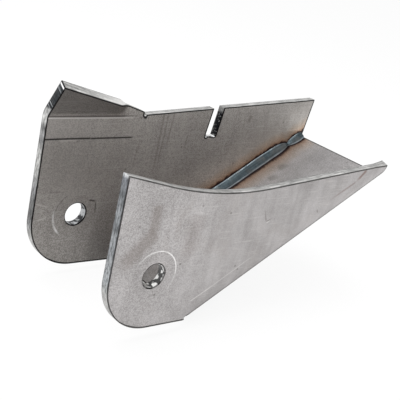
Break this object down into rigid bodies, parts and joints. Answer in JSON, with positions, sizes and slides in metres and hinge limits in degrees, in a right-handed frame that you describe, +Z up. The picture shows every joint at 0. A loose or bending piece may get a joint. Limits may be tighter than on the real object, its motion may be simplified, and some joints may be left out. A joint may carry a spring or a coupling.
{
  "type": "control arm bracket",
  "caption": "Weld-on suspension bracket of folded steel plate: two drilled ears hold an arm's bushing, a sloping ramp closes the channel, and a tall back plate is welded to the frame",
  "frame": {"origin": "on the bolt axis, midway between the two ears", "axes": "+X along the bracket from the ears to the tip, +Y from the front cheek to the back plate along the bolt axis, +Z up from the bolt towards the top edges"},
  "size_m": [0.1924, 0.075, 0.1093],
  "materials": {
    "plate_steel": "bare hot-rolled, pickled sheet with handling marks",
    "weld_metal": "smooth weld bead with blue-grey oxide"
  },
  "bodies": {
    "root": {"back_plate": "plate_steel", "cheek_ramp": "plate_steel", "long_weld": "weld_metal", "short_weld": "weld_metal"}
  },
  "joints": []
}
